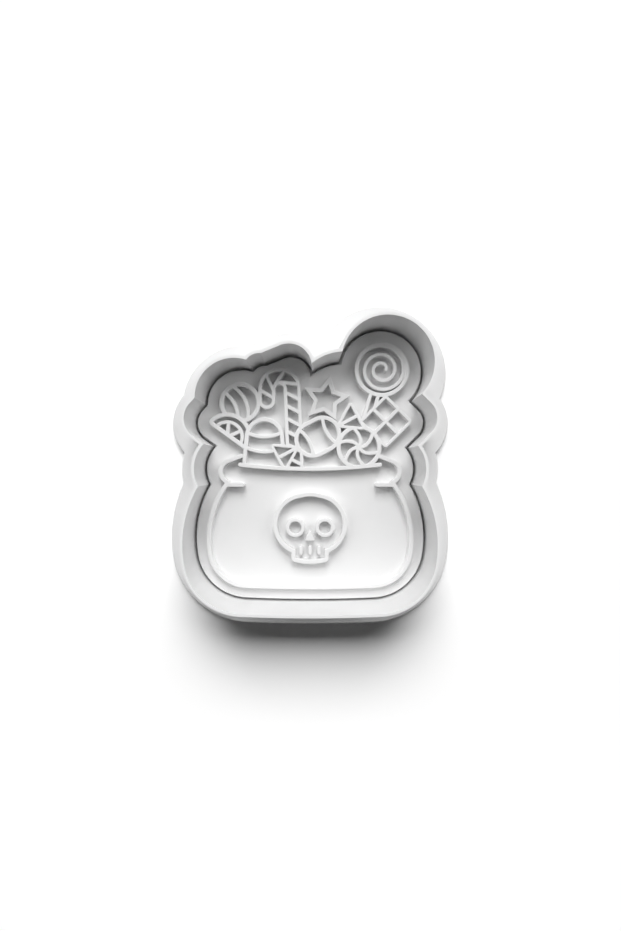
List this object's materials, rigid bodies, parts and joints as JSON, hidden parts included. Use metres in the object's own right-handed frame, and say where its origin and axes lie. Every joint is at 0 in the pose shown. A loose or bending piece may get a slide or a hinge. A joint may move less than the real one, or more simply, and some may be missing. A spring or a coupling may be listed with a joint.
{
  "type": "cookie cutter and stamp set",
  "caption": "Printed cookie cutter with a thin standing wall on a wide press flange, and a loose relief stamp of a cauldron heaped with sweets lying inside it.",
  "frame": {"origin": "on the surface the set lies on, under the middle of the flange's box", "axes": "+Z out of the cutting edge and the relief, +Y to the top of the picture, +X to the lollipop's side"},
  "size_m": [0.0812, 0.0932, 0.018],
  "materials": {
    "white_print": "matte white printed plastic with very fine layers"
  },
  "bodies": {
    "cutter": {"cutter": "white_print"},
    "stamp": {"stamp": "white_print"}
  },
  "joints": [
    {"name": "stamp_slide", "type": "slide", "parent": "cutter", "child": "stamp", "axis": [0, 0, 1], "range_m": [0, 0.02]}
  ]
}
